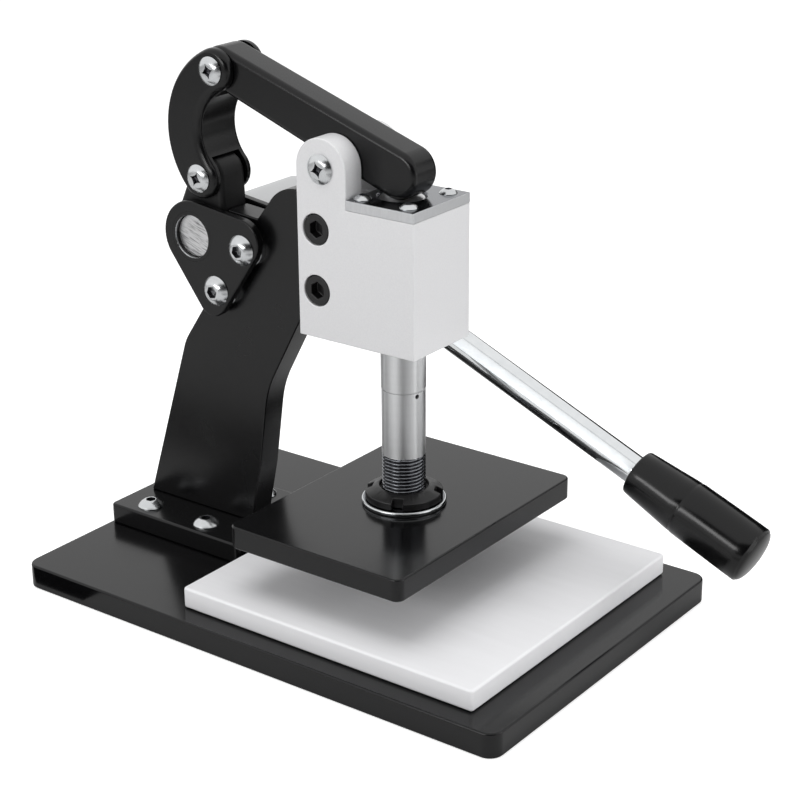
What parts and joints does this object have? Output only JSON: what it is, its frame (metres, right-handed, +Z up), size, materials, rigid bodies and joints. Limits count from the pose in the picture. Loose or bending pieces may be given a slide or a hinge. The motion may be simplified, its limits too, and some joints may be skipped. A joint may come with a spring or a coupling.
{
  "type": "manual die cutting press",
  "caption": "Bench hand press for steel rule dies: toggle handle, top lever, spring-returned ram with height-set press plate, and white cutting board on a black base.",
  "frame": {"origin": "middle of the base plate's underside, on the table", "axes": "+Z up, +Y to the rear where the column stands, +X to the machine's right where the handle is"},
  "size_m": [0.21, 0.3746, 0.2983],
  "materials": {
    "black_powder_coat": "satin powder coat",
    "white_polyethylene": "satin, planed",
    "pale_grey_aluminium": "fine bead blasted and anodised",
    "polished_steel": "polished",
    "zinc_plated_screw": "bright zinc plate",
    "ground_steel": "ground",
    "chromed_steel": "bright chrome",
    "black_oxide_steel": "oiled black oxide",
    "glossy_black_plastic": "moulded, glossy",
    "bearing_bronze": "turned",
    "spring_steel": "drawn wire"
  },
  "bodies": {
    "frame": {"base_plate": "black_powder_coat", "column_foot": "black_powder_coat", "foot_screws": "zinc_plated_screw", "column": "black_powder_coat", "ram_housing": "pale_grey_aluminium", "housing_bolts": "black_oxide_steel", "top_plate": "polished_steel", "top_plate_screws": "zinc_plated_screw", "guide_bush": "bearing_bronze", "left_bearing_plate": "black_powder_coat", "right_bearing_plate": "black_powder_coat", "plate_spacers": "zinc_plated_screw", "plate_screws": "zinc_plated_screw", "left_shaft_bush": "polished_steel", "right_shaft_bush": "polished_steel", "lever_pin": "ground_steel", "lever_pin_screws": "zinc_plated_screw"},
    "handle": {"drive_shaft": "ground_steel", "crank": "black_powder_coat", "crank_key": "ground_steel", "crank_setscrew": "black_oxide_steel", "handle_rod": "chromed_steel", "rod_setscrew": "black_oxide_steel", "handle_grip": "glossy_black_plastic"},
    "links": {"toggle_link": "black_powder_coat", "lower_link_pin": "ground_steel", "upper_link_pin": "ground_steel", "link_pin_screws": "zinc_plated_screw"},
    "lever": {"top_lever": "black_powder_coat"},
    "ram_unit": {"ram": "ground_steel", "spring_collar": "ground_steel", "collar_ring": "black_oxide_steel", "return_spring": "spring_steel"},
    "press": {"press_plate": "black_powder_coat", "nut_washer": "zinc_plated_screw"},
    "nut": {"lock_nut": "black_oxide_steel"},
    "board": {"cutting_board": "white_polyethylene"}
  },
  "joints": [
    {"name": "handle_turn", "type": "hinge", "parent": "frame", "child": "handle", "pos_m": [0, 0.103, 0.1927], "axis": [-1, 0, 0], "range_deg": [0, 55]},
    {"name": "link_swing", "type": "hinge", "parent": "handle", "child": "links", "pos_m": [0, 0.09638, 0.22646], "axis": [1, 0, 0], "range_deg": [0, 80.5]},
    {"name": "lever_rock", "type": "hinge", "parent": "frame", "child": "lever", "pos_m": [0, 0.005, 0.2475], "axis": [-1, 0, 0], "range_deg": [0, 11.3]},
    {"name": "ram_slide", "type": "slide", "parent": "frame", "child": "ram_unit", "axis": [0, 0, 1], "range_m": [0, 0.007], "deforming": ["return_spring"]},
    {"name": "press_height", "type": "slide", "parent": "ram_unit", "child": "press", "axis": [0, 0, 1], "range_m": [-0.006, 0]},
    {"name": "nut_turn", "type": "hinge", "parent": "press", "child": "nut", "pos_m": [0, -0.0285, 0.07], "axis": [0, 0, 1], "continuous": true},
    {"name": "board_slide", "type": "slide", "parent": "frame", "child": "board", "axis": [0, -1, 0], "range_m": [0, 0.12]}
  ],
  "couplings": [
    {"joint": "link_swing", "follows": "handle_turn", "ratio": 1.4512},
    {"joint": "lever_rock", "follows": "handle_turn", "ratio": 0.2019},
    {"joint": "ram_slide", "follows": "handle_turn", "m_per_rad": 0.0072}
  ]
}
